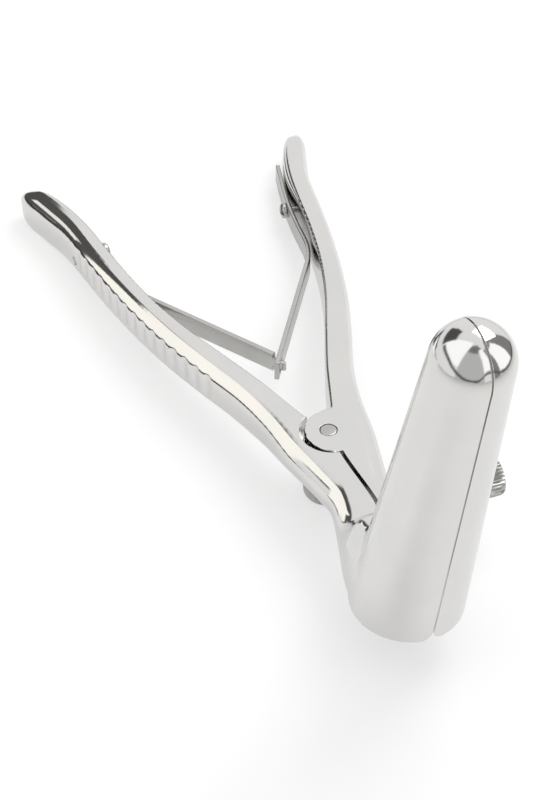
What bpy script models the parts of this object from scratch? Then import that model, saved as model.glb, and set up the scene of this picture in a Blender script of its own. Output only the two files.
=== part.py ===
# Two-bladed rectal speculum: a pair of plier levers that don't cross, whose half-round blades
# close into one tapered tube. Sizes are metres, +Z is up, and the part stands as it rests on a
# table: on the rear edge of its pivot nut and on both handle ends.
#
# The pieces are drawn flat in the instrument's own frame, and one empty then tilts them to the
# table. In that frame the pivot is the origin, the levers' flat top is z = 0, the handles
# run towards -Y and the blades stand at +Y. The left lever lies at +X.

import math

import bmesh
import bpy
from mathutils import Matrix, Vector

# Levers
LEVER_THICKNESS = 0.0120
INNER_EDGE = [  # (y, x) of the face towards the other lever
    (-0.1330, 0.0388), (-0.1229, 0.0347), (-0.1133, 0.0324), (-0.0980, 0.0306),
    (-0.0828, 0.0283), (-0.0678, 0.0251), (-0.0531, 0.0205), (-0.0387, 0.0148),
    (-0.0243, 0.0092), (-0.0125, 0.0053), (-0.0080, 0.0038),
]
OUTER_EDGE = [  # (y, x) of the rounded face that the hand holds
    (-0.1330, 0.0463), (-0.1229, 0.0429), (-0.1133, 0.0400), (-0.0980, 0.0377),
    (-0.0828, 0.0352), (-0.0678, 0.0320), (-0.0531, 0.0280), (-0.0387, 0.0230),
    (-0.0243, 0.0176), (-0.0119, 0.0145), (0.0014, 0.0126), (0.0146, 0.0098),
    (0.0214, 0.0086), (0.0307, 0.0101), (0.0418, 0.0126), (0.0480, 0.0134),
]
HANDLE_END_Y = -0.1388
TIP_LENGTH = 0.0110
TIP_EXTRA_DEPTH = 0.0010  # the handle's end is this much thicker, downwards
GRIP_TOP_ROUNDING = (0.0036, 0.0050)  # (sideways, upright) reach of the rounded edges
GRIP_FOOT_ROUNDING = (0.0018, 0.0022)
ARM_TOP_ROUNDING = (0.0052, 0.0050)
ARM_FOOT_ROUNDING = (0.0068, 0.0068)
TIP_INNER_ROUNDING = (0.0020, 0.0032)
EDGE_BREAK = 0.0004
ARM_GAP = 0.0011  # open slot between the two arms
ARM_GAP_DRIFT = 0.0011  # how far the slot wanders towards the right arm
DRIFT_START_Y = 0.0085
DRIFT_END_Y = 0.0290
CROTCH_Y = -0.0080
ARM_FILLET = 0.0100  # where the arm's top climbs into the blade
FILLET_START_Y = 0.0290
FILLET_REACH = 0.98  # share of the fillet's quarter circle that is used
TIP_ZONE = (-0.1220, -0.0960)  # the handle's end changes into the grip between these y
ARM_ZONE = (-0.0250, 0.0120)  # and the grip into the arm
BLADE_ZONE = (0.0220, 0.0420)  # and the arm into the blade

# Grip flutes on the handles' outer faces
FLUTE_COUNT = 15
FLUTE_PITCH = 0.00494
FLUTE_RADIUS = 0.0032
FLUTE_DEPTH = 0.00045
FLUTE_START_Y = -0.1017

# Blades, a tapered tube with a round end that is split along x = 0
BLADE_BASE_Y = 0.0510
BLADE_BASE_RADIUS = 0.0142
BLADE_TIP_RADIUS = 0.0093
BLADE_LENGTH = 0.0945  # base to the centre of the round end
BLADE_LEAN = math.radians(13.45)
BLADE_WALL = 0.0013
SEAM_GAP = 0.0004
CORNER_RADIUS = 0.0030

# Pivot
BOSS_RADIUS = 0.00825
BOSS_SHIFT = (0.0019, 0.0005)  # of the boss's centre, towards its own lever and the blades
RECESS_RADIUS = 0.0084
RECESS_SHIFT = (0.0006, 0.0005)  # away from its own lever, and towards the blades
BOLT_HEAD_RADIUS = 0.0022
BOLT_HEAD_HEIGHT = 0.0016
BOLT_CHAMFER = 0.0002
BOLT_RADIUS = 0.0019
NUT_RADIUS = 0.0068
NUT_FOOT_RADIUS = 0.0064
NUT_HEIGHT = 0.0093
NUT_RIDGES = 40
NUT_FLOOR = 0.0018

# Leaf springs between the handles
LEAF_THICKNESS = 0.0013
LEAF_HEIGHT = 0.0060
LEAF_ROOT_Z = -0.0080  # middle of the strip beside the handle
LEAF_MEET_Z = -0.0057  # middle of the leaves where they hook
FLEX_Y = -0.0800  # where a leaf leaves its handle
STRAP_END_Y = -0.1260
STRAP_STRAIGHT_Y = -0.1180  # beyond this the strap no longer follows the handle
STRAP_BOW = 0.0008  # how far the strap stands off the handle between its ends
LEAF_MEET_Y = -0.0358
LEAF_SHORT = 0.0018  # the left leaf's full height stops this far before the right leaf
LEAF_OVERRUN = 0.0034
TONGUE_HEIGHT = 0.0026
TONGUE_LENGTH = 0.0017  # past the right leaf, to the centre of its round end
WINDOW_BEFORE = 0.0016  # reach of the right leaf's window to either side of the tongue
WINDOW_AFTER = 0.0028

# Screws that hold the springs to the handles
SPRING_SCREW_Y = -0.1060
SPRING_SCREW_RADIUS = 0.0011
SPRING_SCREW_HEAD_RADIUS = 0.0024
SPRING_SCREW_HEAD_HEIGHT = 0.0016
HEAD_DOME = 0.6  # share of the head's height that is domed
SCREW_SLOT_WIDTH = 0.0005
SCREW_SLOT_DEPTH = 0.0009

# Spreader screw through the right arm
SPREADER_Y = 0.0255
SPREADER_RADIUS = 0.0018
SPREADER_TIP_SETBACK = 0.0042  # how far its end stays inside the arm
KNOB_RADIUS = 0.0052
KNOB_WIDTH = 0.0048
KNOB_INNER_X = 0.0317
KNOB_RIDGES = 34

# Clearances
REST_GAP = 0.0003
RUNNING_GAP = 0.00008
BOLT_HEAD_GAP = 0.0002
TONGUE_GAP = 0.0003

ROUND_STEPS = 32
CORNER_STEPS = 4
RIDGE_DEPTH = 0.00035
WHEEL_CHAMFER = 0.0005
FACET_ANGLE = math.radians(30)
END_SWEEP = math.radians(80)
STEP = 0.001  # spacing for slopes along the outlines

MID_Z = -LEVER_THICKNESS / 2
LEFT = 1
RIGHT = -1

parts = None
cutters = None


def clear_scene():
    for old in list(bpy.data.objects):
        bpy.data.objects.remove(old, do_unlink=True)
    for old in list(bpy.data.collections):
        bpy.data.collections.remove(old)


def make_material(name, colour, roughness, metallic=1.0):
    material = bpy.data.materials.new(name)
    material.use_nodes = True
    shader = material.node_tree.nodes["Principled BSDF"]
    shader.inputs["Base Color"].default_value = (*colour, 1.0)
    shader.inputs["Roughness"].default_value = roughness
    shader.inputs["Metallic"].default_value = metallic
    material.diffuse_color = (*colour, 1.0)
    return material


def add_object(name, mesh, collection):
    obj = bpy.data.objects.new(name, mesh)
    collection.objects.link(obj)
    if collection is cutters:
        obj.hide_render = True
        obj.display_type = "WIRE"
    return obj


def from_bmesh(name, bm, collection):
    bmesh.ops.recalc_face_normals(bm, faces=bm.faces)
    mesh = bpy.data.meshes.new(name)
    bm.to_mesh(mesh)
    bm.free()
    return add_object(name, mesh, collection)


def bake(obj):
    """Apply an object's modifiers."""
    graph = bpy.context.evaluated_depsgraph_get()
    mesh = bpy.data.meshes.new_from_object(obj.evaluated_get(graph))
    obj.modifiers.clear()
    obj.data = mesh
    return obj


def combine(obj, other, operation):
    step = obj.modifiers.new(other.name, "BOOLEAN")
    step.operation = operation
    step.object = other
    bake(obj)


def curve_value(points, y):
    """Smooth curve through (y, x) points, by Catmull-Rom tangents."""
    last = len(points) - 1
    i = 0
    while i < last - 1 and y > points[i + 1][0]:
        i += 1
    slopes = []
    for k in (i, i + 1):
        before = points[max(k - 1, 0)]
        after = points[min(k + 1, last)]
        slopes.append((after[1] - before[1]) / (after[0] - before[0]))
    (y0, x0), (y1, x1) = points[i], points[i + 1]
    span = y1 - y0
    t = (y - y0) / span
    return ((2 * t**3 - 3 * t**2 + 1) * x0 + (t**3 - 2 * t**2 + t) * span * slopes[0]
            + (3 * t**2 - 2 * t**3) * x1 + (t**3 - t**2) * span * slopes[1])


def blend(y, start, end):
    """0 before start, 1 after end, smooth between."""
    t = min(max((y - start) / (end - start), 0.0), 1.0)
    return t * t * (3 - 2 * t)


def mix(first, second, amount):
    return first * (1 - amount) + second * amount


def mix_pair(first, second, amount):
    return mix(first[0], second[0], amount), mix(first[1], second[1], amount)


def inner_x(y, side=0):
    """Inner edge; past the pivot the slot between the arms drifts to the right lever's side."""
    if y > CROTCH_Y:
        reach = blend(y, CROTCH_Y, CROTCH_Y + BOSS_RADIUS / 2)
        blade_back = BLADE_BASE_Y - BLADE_BASE_RADIUS
        drift = blend(y, DRIFT_START_Y, DRIFT_END_Y) * (1 - blend(y, DRIFT_END_Y, blade_back))
        return mix(INNER_EDGE[-1][1], ARM_GAP / 2 - side * ARM_GAP_DRIFT * drift, reach)
    return curve_value(INNER_EDGE, y)


def outer_x(y):
    return curve_value(OUTER_EDGE, y)


def corner(cx, cz, rx, rz, start):
    """Quarter ellipse in a section, from the start angle on, counted in quarter turns."""
    points = []
    for k in range(CORNER_STEPS + 1):
        angle = math.pi / 2 * (start + k / CORNER_STEPS)
        points.append((cx + rx * math.cos(angle), cz + rz * math.sin(angle)))
    return points


def lever_section(y, side=0):
    """Ring of (x, z) points: flat inner face, rounded outer face."""
    x0 = inner_x(y, side)
    x1 = outer_x(y)
    at_tip = 1 - blend(y, *TIP_ZONE)
    bottom = -LEVER_THICKNESS - TIP_EXTRA_DEPTH * at_tip
    top = 0.0
    if y > FILLET_START_Y:
        run = min(y - FILLET_START_Y, ARM_FILLET * FILLET_REACH)
        top = ARM_FILLET - math.sqrt(ARM_FILLET**2 - run**2)
    into_arm = blend(y, *ARM_ZONE)
    into_blade = blend(y, *BLADE_ZONE)
    upper, upper_z = mix_pair(GRIP_TOP_ROUNDING, ARM_TOP_ROUNDING, into_arm)
    upper_z += top
    lower, lower_z = mix_pair(GRIP_FOOT_ROUNDING, ARM_FOOT_ROUNDING, into_arm)
    lower, lower_z = mix_pair((lower, lower_z), (EDGE_BREAK, EDGE_BREAK), into_blade)
    inside, inside_z = mix_pair((EDGE_BREAK, EDGE_BREAK), TIP_INNER_ROUNDING, at_tip)
    ring = corner(x1 - upper, top - upper_z, upper, upper_z, 0)
    ring += corner(x0 + inside, top - inside_z, inside, inside_z, 1)
    ring += corner(x0 + inside, bottom + inside_z, inside, inside_z, 2)
    ring += corner(x1 - lower, bottom + lower_z, lower, lower_z, 3)
    return ring


def handle_tip_section(y):
    """Lever section that shrinks to the handle's round end."""
    start = HANDLE_END_Y + TIP_LENGTH
    t = (start - y) / TIP_LENGTH
    size = math.sqrt(max(1 - t * t, 0.0))
    ring = lever_section(start)
    start_x = (inner_x(start) + outer_x(start)) / 2
    here_x = (inner_x(y) + outer_x(y)) / 2
    middle_z = MID_Z - TIP_EXTRA_DEPTH / 2
    return [(here_x + (x - start_x) * size, middle_z + (z - middle_z) * size) for x, z in ring]


def loft(name, rings, collection):
    """Closed skin over rings of equal point count, capped at both ends."""
    bm = bmesh.new()
    rows = [[bm.verts.new(point) for point in ring] for ring in rings]
    for row, following in zip(rows, rows[1:]):
        for i, vert in enumerate(row):
            j = (i + 1) % len(row)
            bm.faces.new((vert, row[j], following[j], following[i]))
    bm.faces.new(rows[0])
    bm.faces.new(rows[-1])
    return from_bmesh(name, bm, collection)


def box(name, low, high, collection):
    bm = bmesh.new()
    bmesh.ops.create_cube(bm, size=1.0)
    centre = (Vector(low) + Vector(high)) / 2
    size = Vector(high) - Vector(low)
    place = Matrix.Translation(centre) @ Matrix.Diagonal((*size, 1))
    bmesh.ops.transform(bm, matrix=place, verts=bm.verts)
    return from_bmesh(name, bm, collection)


def rod(name, radius, start, end, collection, steps=ROUND_STEPS):
    """Cylinder between two points."""
    start, end = Vector(start), Vector(end)
    axis = end - start
    bm = bmesh.new()
    bmesh.ops.create_cone(bm, cap_ends=True, segments=steps, radius1=radius, radius2=radius,
                          depth=axis.length)
    place = Matrix.Translation((start + end) / 2) @ axis.to_track_quat("Z", "Y").to_matrix().to_4x4()
    bmesh.ops.transform(bm, matrix=place, verts=bm.verts)
    return from_bmesh(name, bm, collection)


def turned(name, profile, collection, steps=ROUND_STEPS):
    """Profile of (radius, z) points from the top down, turned about Z."""
    bm = bmesh.new()
    verts = [bm.verts.new((radius, 0, z)) for radius, z in profile]
    for a, b in zip(verts, verts[1:]):
        bm.edges.new((a, b))
    mesh = bpy.data.meshes.new(name)
    bm.to_mesh(mesh)
    bm.free()
    obj = add_object(name, mesh, collection)
    screw = obj.modifiers.new("turn", "SCREW")
    screw.steps = steps
    screw.render_steps = steps
    screw.use_merge_vertices = True
    screw.merge_threshold = 0.00001
    return bake(obj)


def ridged_wheel(name, radius, foot_radius, height, ridges, collection):
    """Straight-knurled wheel from z = 0 down, with its edges chamfered."""
    levels = [(0.0, radius - WHEEL_CHAMFER), (-WHEEL_CHAMFER, radius),
              (-height + WHEEL_CHAMFER, foot_radius), (-height, foot_radius - WHEEL_CHAMFER)]
    rings = []
    for z, size in levels:
        ring = []
        for k in range(ridges * 2):
            angle = math.pi * k / ridges
            reach = size - RIDGE_DEPTH * (k % 2)
            ring.append((reach * math.cos(angle), reach * math.sin(angle), z))
        rings.append(ring)
    return loft(name, rings, collection)


def move_mesh(obj, matrix):
    obj.data.transform(matrix)
    obj.data.update()


def blade_solid(name, inset):
    """Tapered tube with a round end, leaning forwards, as one full solid."""
    taper = (BLADE_BASE_RADIUS - BLADE_TIP_RADIUS) / BLADE_LENGTH
    skirt = 0.008
    dome_steps = 7
    dome_radius = BLADE_TIP_RADIUS - inset
    profile = [(0.0, BLADE_LENGTH + dome_radius)]
    for k in range(1, dome_steps + 1):
        angle = math.pi / 2 * (1 - k / dome_steps)
        profile.append((dome_radius * math.cos(angle), BLADE_LENGTH + dome_radius * math.sin(angle)))
    profile.append((BLADE_BASE_RADIUS - inset - taper * BLADE_LENGTH / 2, BLADE_LENGTH / 2))
    profile.append((BLADE_BASE_RADIUS - inset + taper * skirt, -skirt))
    profile.append((0.0, -skirt))
    solid = turned(name, profile, cutters)
    base = Matrix.Translation((0, BLADE_BASE_Y, -LEVER_THICKNESS))
    move_mesh(solid, base @ Matrix.Rotation(-BLADE_LEAN, 4, "X"))
    return solid


def half_blade(side, tag):
    """Outer form of one blade, cut at the seam and at its open base."""
    blade = blade_solid("blade_form_" + tag, 0.0)
    reach = BLADE_BASE_RADIUS * 2
    height = BLADE_LENGTH + BLADE_TIP_RADIUS * 2
    seam = SEAM_GAP / 2
    xs = sorted((side * seam, side * reach))
    keep = box("blade_half_" + tag, (xs[0], 0, -LEVER_THICKNESS),
               (xs[1], BLADE_BASE_Y + reach * 2, height), cutters)
    combine(blade, keep, "INTERSECT")
    return blade


def seam_corner(side, tag):
    """Cutter that rounds the blade's lower corner at the seam."""
    start = BLADE_BASE_Y
    end = BLADE_BASE_Y + BLADE_BASE_RADIUS * 1.5
    edge = SEAM_GAP / 2
    xs = sorted((side * (edge - REST_GAP), side * (edge + CORNER_RADIUS)))
    block = box("corner_" + tag, (xs[0], start, -LEVER_THICKNESS - REST_GAP),
                (xs[1], end, -LEVER_THICKNESS + CORNER_RADIUS), cutters)
    centre_x = side * (edge + CORNER_RADIUS)
    centre_z = -LEVER_THICKNESS + CORNER_RADIUS
    post = rod("corner_round_" + tag, CORNER_RADIUS, (centre_x, start - REST_GAP, centre_z),
               (centre_x, end + REST_GAP, centre_z), cutters, 24)
    combine(block, post, "DIFFERENCE")
    return block


def lever_blank(side, tag, collection, name):
    """Handle and arm as one lofted bar that ends inside the blade's wall."""
    tip_steps = 6
    grip_steps = 18
    arm_steps = 30
    grip_start = HANDLE_END_Y + TIP_LENGTH
    arm_end = BLADE_BASE_Y - BLADE_WALL * 2
    rings = []
    for k in range(1, tip_steps):
        y = HANDLE_END_Y + TIP_LENGTH * (1 - math.cos(math.pi / 2 * k / tip_steps))
        rings.append([(side * x, y, z) for x, z in handle_tip_section(y)])
    for k in range(grip_steps):
        y = mix(grip_start, CROTCH_Y, k / grip_steps)
        rings.append([(side * x, y, z) for x, z in lever_section(y)])
    for k in range(arm_steps + 1):
        y = mix(CROTCH_Y, arm_end, k / arm_steps)
        rings.append([(side * x, y, z) for x, z in lever_section(y, side)])
    return loft(name, rings, collection)


def flute_cutter(side, tag):
    """Row of upright rods that graze the outer face."""
    bm = bmesh.new()
    y = FLUTE_START_Y
    for _ in range(FLUTE_COUNT):
        slope = (outer_x(y + STEP) - outer_x(y - STEP)) / (2 * STEP)
        along = Vector((slope, 1.0)).normalized()
        outward = Vector((along.y, -along.x))
        centre = Vector((outer_x(y), y)) + outward * (FLUTE_RADIUS - FLUTE_DEPTH)
        place = Matrix.Translation((side * centre.x, centre.y, MID_Z))
        bmesh.ops.create_cone(bm, cap_ends=True, segments=20, radius1=FLUTE_RADIUS,
                              radius2=FLUTE_RADIUS, depth=LEVER_THICKNESS * 2, matrix=place)
        y += FLUTE_PITCH * along.y
    return from_bmesh("flutes_" + tag, bm, cutters)


def strap_point(y):
    """Middle of the spring strap beside the handle; past the flare it runs straight on."""
    near_y = max(y, STRAP_STRAIGHT_Y)
    along = (near_y - STRAP_STRAIGHT_Y) / (FLEX_Y - STRAP_STRAIGHT_Y)
    bow = STRAP_BOW * math.sin(math.pi * min(along, 1.0)) ** 2
    offset = REST_GAP + LEAF_THICKNESS / 2 + bow
    slope = (inner_x(near_y + STEP) - inner_x(near_y - STEP)) / (2 * STEP)
    x = inner_x(near_y) - offset * math.sqrt(1 + slope * slope)
    return Vector((x + slope * (y - near_y), y))


def strap_direction(y):
    return (strap_point(y + STEP) - strap_point(y - STEP)).normalized()


def spring_screw_line(side):
    """Centre on the strap and outward direction of the screw through the handle."""
    along = strap_direction(SPRING_SCREW_Y)
    outward = Vector((side * along.y, -along.x, 0))
    centre = strap_point(SPRING_SCREW_Y)
    return Vector((side * centre.x, centre.y, LEAF_ROOT_Z)), outward


def make_lever(side, tag, material):
    upper_boss = side == RIGHT
    lever = lever_blank(side, tag, parts, "lever_" + tag)
    combine(lever, half_blade(side, tag), "UNION")
    if upper_boss:
        boss_z = (MID_Z + REST_GAP / 2, 0.0)
        recess_z = (-LEVER_THICKNESS * 2, MID_Z + REST_GAP / 2)
    else:
        boss_z = (-LEVER_THICKNESS, MID_Z - REST_GAP / 2)
        recess_z = (MID_Z - REST_GAP / 2, LEVER_THICKNESS)
    recess_x = -side * RECESS_SHIFT[0]
    recess = rod("recess_" + tag, RECESS_RADIUS, (recess_x, RECESS_SHIFT[1], recess_z[0]),
                 (recess_x, RECESS_SHIFT[1], recess_z[1]), cutters, 48)
    combine(lever, recess, "DIFFERENCE")
    boss_x = side * BOSS_SHIFT[0]
    boss = rod("boss_" + tag, BOSS_RADIUS, (boss_x, BOSS_SHIFT[1], boss_z[0]),
               (boss_x, BOSS_SHIFT[1], boss_z[1]), cutters, 48)
    combine(lever, boss, "UNION")
    combine(lever, blade_solid("blade_inside_" + tag, BLADE_WALL), "DIFFERENCE")
    combine(lever, seam_corner(side, tag), "DIFFERENCE")
    combine(lever, flute_cutter(side, tag), "DIFFERENCE")
    bolt_hole = rod("bolt_hole_" + tag, BOLT_RADIUS + RUNNING_GAP, (0, 0, -LEVER_THICKNESS * 2),
                    (0, 0, LEVER_THICKNESS), cutters, 24)
    combine(lever, bolt_hole, "DIFFERENCE")
    if upper_boss:
        seat = rod("bolt_seat", BOLT_HEAD_RADIUS + BOLT_HEAD_GAP, (0, 0, -BOLT_HEAD_HEIGHT - REST_GAP),
                   (0, 0, LEVER_THICKNESS), cutters)
        combine(lever, seat, "DIFFERENCE")
        bore = rod("spreader_bore", SPREADER_RADIUS + RUNNING_GAP, (0, SPREADER_Y, MID_Z),
                   (side * KNOB_INNER_X, SPREADER_Y, MID_Z), cutters, 24)
        combine(lever, bore, "DIFFERENCE")
    centre, outward = spring_screw_line(side)
    screw_hole = rod("spring_screw_hole_" + tag, SPRING_SCREW_RADIUS + RUNNING_GAP, centre,
                     centre + outward * LEVER_THICKNESS, cutters, 16)
    combine(lever, screw_hole, "DIFFERENCE")
    return finish(lever, material)


def finish(obj, material):
    obj.data.materials.clear()
    obj.data.materials.append(material)
    obj.data.shade_smooth()
    obj.data.set_sharp_from_angle(angle=FACET_ANGLE)
    return obj


def make_bolt(material):
    length = LEVER_THICKNESS + NUT_HEIGHT - NUT_FLOOR
    bolt = turned("pivot_bolt", [
        (0.0, 0.0), (BOLT_HEAD_RADIUS - BOLT_CHAMFER, 0.0), (BOLT_HEAD_RADIUS, -BOLT_CHAMFER),
        (BOLT_HEAD_RADIUS, -BOLT_HEAD_HEIGHT), (BOLT_RADIUS, -BOLT_HEAD_HEIGHT),
        (BOLT_RADIUS, -length), (0.0, -length)], parts, 24)
    return finish(bolt, material)


def make_nut(material):
    nut = ridged_wheel("pivot_nut", NUT_RADIUS, NUT_FOOT_RADIUS, NUT_HEIGHT, NUT_RIDGES, parts)
    depth = NUT_HEIGHT - NUT_FLOOR
    bore = rod("nut_bore", BOLT_RADIUS + RUNNING_GAP, (0, 0, LEVER_THICKNESS),
               (0, 0, -depth - REST_GAP * 2), cutters, 24)
    combine(nut, bore, "DIFFERENCE")
    move_mesh(nut, Matrix.Translation((0, 0, -LEVER_THICKNESS - REST_GAP)))
    return finish(nut, material)


def strip_ring(side, point, along, level, height, thickness):
    """Upright section of a flat strip, centred on a point at a level."""
    across = Vector((along.y, -along.x)) * (thickness / 2)
    ring = []
    for sign, end in ((1, 1), (-1, 1), (-1, -1), (1, -1)):
        spot = point + across * sign
        ring.append((side * spot.x, spot.y, level + end * height / 2))
    return ring


def make_strap(side, tag, material):
    """Part of the leaf spring that lies along the handle, up to where it flexes."""
    steps = 14
    end = FLEX_Y - (LEAF_THICKNESS / 2 + REST_GAP)
    rings = []
    for k in range(steps + 1):
        y = mix(STRAP_END_Y, end, k / steps)
        rings.append(strip_ring(side, strap_point(y), strap_direction(y), LEAF_ROOT_Z, LEAF_HEIGHT,
                                LEAF_THICKNESS))
    strap = loft("spring_strap_" + tag, rings, parts)
    centre, outward = spring_screw_line(side)
    through = outward * LEAF_THICKNESS * 2
    hole = rod("strap_hole_" + tag, SPRING_SCREW_RADIUS + RUNNING_GAP, centre - through,
               centre + through, cutters, 16)
    combine(strap, hole, "DIFFERENCE")
    return finish(strap, material)


def rounded_end(side, centre, along, level, height):
    """Rings that swell from a strip's half-round edge to its full thickness at the centre."""
    steps = 4
    rings = []
    for k in range(steps):
        angle = END_SWEEP * (1 - k / steps)
        back = along * (LEAF_THICKNESS / 2 * math.sin(angle))
        width = LEAF_THICKNESS * math.cos(angle)
        rings.append(strip_ring(side, centre - back, along, level, height, width))
    return rings


def make_leaf(side, tag, material):
    """Free part of the leaf spring, from its flexing root to where the two leaves hook."""
    steps = 6
    root = strap_point(FLEX_Y)
    meet = Vector((0, LEAF_MEET_Y))
    along = (meet - root).normalized()
    length = (meet - root).length
    end = length - LEAF_SHORT if side == LEFT else length + LEAF_OVERRUN
    rings = rounded_end(side, root, along, LEAF_ROOT_Z, LEAF_HEIGHT)
    for k in range(steps + 1):
        reach = end * k / steps
        level = mix(LEAF_ROOT_Z, LEAF_MEET_Z, reach / length)
        rings.append(strip_ring(side, root + along * reach, along, level, LEAF_HEIGHT, LEAF_THICKNESS))
    leaf = loft("spring_leaf_" + tag, rings, parts)
    if side == LEFT:
        tip = root + along * (length + TONGUE_LENGTH)
        rings = rounded_end(side, tip, -along, LEAF_MEET_Z, TONGUE_HEIGHT)
        rings.append(strip_ring(side, root + along * (end - LEAF_THICKNESS), -along, LEAF_MEET_Z,
                                TONGUE_HEIGHT, LEAF_THICKNESS))
        combine(leaf, loft("tongue", rings, cutters), "UNION")
    else:
        height = TONGUE_HEIGHT + TONGUE_GAP * 2
        rings = []
        for reach in (-WINDOW_BEFORE, WINDOW_AFTER):
            rings.append(strip_ring(side, meet + along * reach, along, LEAF_MEET_Z, height,
                                    LEAF_THICKNESS * 3))
        combine(leaf, loft("leaf_window", rings, cutters), "DIFFERENCE")
    return finish(leaf, material)


def make_spring_screw(side, tag, material):
    """Slotted screw through the strap and the handle, its end flush with the outer face."""
    dome_steps = 5
    centre, outward = spring_screw_line(side)
    face = LEAF_THICKNESS / 2 + REST_GAP
    head_top = face + SPRING_SCREW_HEAD_HEIGHT
    rise = SPRING_SCREW_HEAD_HEIGHT * HEAD_DOME
    reach = (outer_x(SPRING_SCREW_Y) - strap_point(SPRING_SCREW_Y).x) * abs(outward.x)
    profile = []
    for k in range(dome_steps + 1):
        angle = math.pi / 2 * k / dome_steps
        radius = SPRING_SCREW_HEAD_RADIUS * math.sin(angle)
        profile.append((radius, head_top - rise * (1 - math.cos(angle))))
    profile += [(SPRING_SCREW_HEAD_RADIUS, face), (SPRING_SCREW_RADIUS, face),
                (SPRING_SCREW_RADIUS, -reach), (0.0, -reach)]
    screw = turned("spring_screw_" + tag, profile, parts, 16)
    wide = SPRING_SCREW_HEAD_RADIUS * 2
    half = SCREW_SLOT_WIDTH / 2
    slot = box("screw_slot_" + tag, (-wide, -half, head_top - SCREW_SLOT_DEPTH),
               (wide, half, head_top + wide), cutters)
    combine(screw, slot, "DIFFERENCE")
    turn = (-outward).to_track_quat("Z", "Y").to_matrix().to_4x4()
    move_mesh(screw, Matrix.Translation(centre) @ turn)
    return finish(screw, material)


def make_spreader(material):
    """Thumbscrew whose end holds the arms apart, with its knurled knob outside the right arm."""
    knob = ridged_wheel("spreader_screw", KNOB_RADIUS, KNOB_RADIUS, KNOB_WIDTH, KNOB_RIDGES, parts)
    tip_x = ARM_GAP / 2 + SPREADER_TIP_SETBACK
    length = KNOB_INNER_X - tip_x
    shank = rod("spreader_shank", SPREADER_RADIUS, (0, 0, -KNOB_WIDTH / 2), (0, 0, length), cutters, 24)
    combine(knob, shank, "UNION")
    turn = Matrix.Rotation(math.pi / 2, 4, "Y")
    move_mesh(knob, Matrix.Translation((-KNOB_INNER_X, SPREADER_Y, MID_Z)) @ turn)
    return finish(knob, material)


def add_empty(name, parent, place):
    empty = bpy.data.objects.new(name, None)
    parts.objects.link(empty)
    empty.empty_display_size = 0.01
    empty.parent = parent
    empty.location = place
    return empty


def hang(obj, empty, place):
    """Give a piece its origin at an empty's place and parent it there."""
    move_mesh(obj, Matrix.Translation(-Vector(place)))
    obj.parent = empty


def lowest_and_widest(objects):
    corners = [obj.matrix_world @ vert.co for obj in objects for vert in obj.data.vertices]
    low_z = min(point.z for point in corners)
    mid_y = (min(point.y for point in corners) + max(point.y for point in corners)) / 2
    return low_z, mid_y


def main():
    global parts, cutters
    clear_scene()
    parts = bpy.data.collections.new("rectal_speculum")
    cutters = bpy.data.collections.new("cutters")
    for collection in (parts, cutters):
        bpy.context.scene.collection.children.link(collection)

    polished = make_material("polished_steel", (0.78, 0.78, 0.76), 0.12)
    spring_steel = make_material("spring_steel", (0.72, 0.72, 0.71), 0.22)
    screw_steel = make_material("screw_steel", (0.70, 0.70, 0.69), 0.25)

    left_lever = make_lever(LEFT, "left", polished)
    right_lever = make_lever(RIGHT, "right", polished)
    bolt = make_bolt(screw_steel)
    nut = make_nut(screw_steel)
    left_strap = make_strap(LEFT, "left", spring_steel)
    right_strap = make_strap(RIGHT, "right", spring_steel)
    left_leaf = make_leaf(LEFT, "left", spring_steel)
    right_leaf = make_leaf(RIGHT, "right", spring_steel)
    left_screw = make_spring_screw(LEFT, "left", screw_steel)
    right_screw = make_spring_screw(RIGHT, "right", screw_steel)
    spreader = make_spreader(screw_steel)

    root = add_empty("instrument", None, (0, 0, 0))
    pivot = add_empty("pivot_axis", root, (0, 0, 0))
    for obj in (left_lever, bolt, left_strap, left_screw):
        obj.parent = root
    for obj in (right_lever, right_strap, right_screw, nut):
        obj.parent = pivot
    flex = strap_point(FLEX_Y)
    for leaf, side, base, tag in ((left_leaf, LEFT, root, "left"), (right_leaf, RIGHT, pivot, "right")):
        place = (side * flex.x, flex.y, LEAF_ROOT_Z)
        hang(leaf, add_empty("flex_axis_" + tag, base, place), place)
    place = (-KNOB_INNER_X, SPREADER_Y, MID_Z)
    hang(spreader, add_empty("spreader_axis", pivot, place), place)

    nut_bottom = -LEVER_THICKNESS - REST_GAP - NUT_HEIGHT
    nut_edge = WHEEL_CHAMFER - NUT_FOOT_RADIUS
    root.rotation_euler.x = rest_tilt(nut_edge, nut_bottom)
    bpy.context.view_layer.update()
    low_z, mid_y = lowest_and_widest([obj for obj in parts.objects if obj.type == "MESH"])
    root.location = (0, -mid_y, -low_z)
    bpy.context.view_layer.update()


def rest_tilt(foot_y, foot_z):
    """Angle that brings the nut's rear edge and the handle ends to one level."""
    rounds = 20
    samples = 40
    tilt = 0.0
    for _ in range(rounds):
        lowest = None
        for k in range(samples + 1):
            y = HANDLE_END_Y + TIP_LENGTH * k / samples
            for _, z in handle_tip_section(y):
                level = math.sin(tilt) * y + math.cos(tilt) * z
                if lowest is None or level < lowest[0]:
                    lowest = (level, y, z)
        tilt = math.atan2(lowest[2] - foot_z, foot_y - lowest[1])
    return tilt


main()
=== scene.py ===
# Rectal speculum: fine surfaces, polished steel, floor, light and camera.
# Lengths are metres. Shapes are worked out in the instrument's own frame, with the pivot at the
# origin, the levers' flat top at z = 0 and the blades at +Y, and are then tilted onto the table.
import math

import bpy
from mathutils import Matrix, Vector


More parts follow.
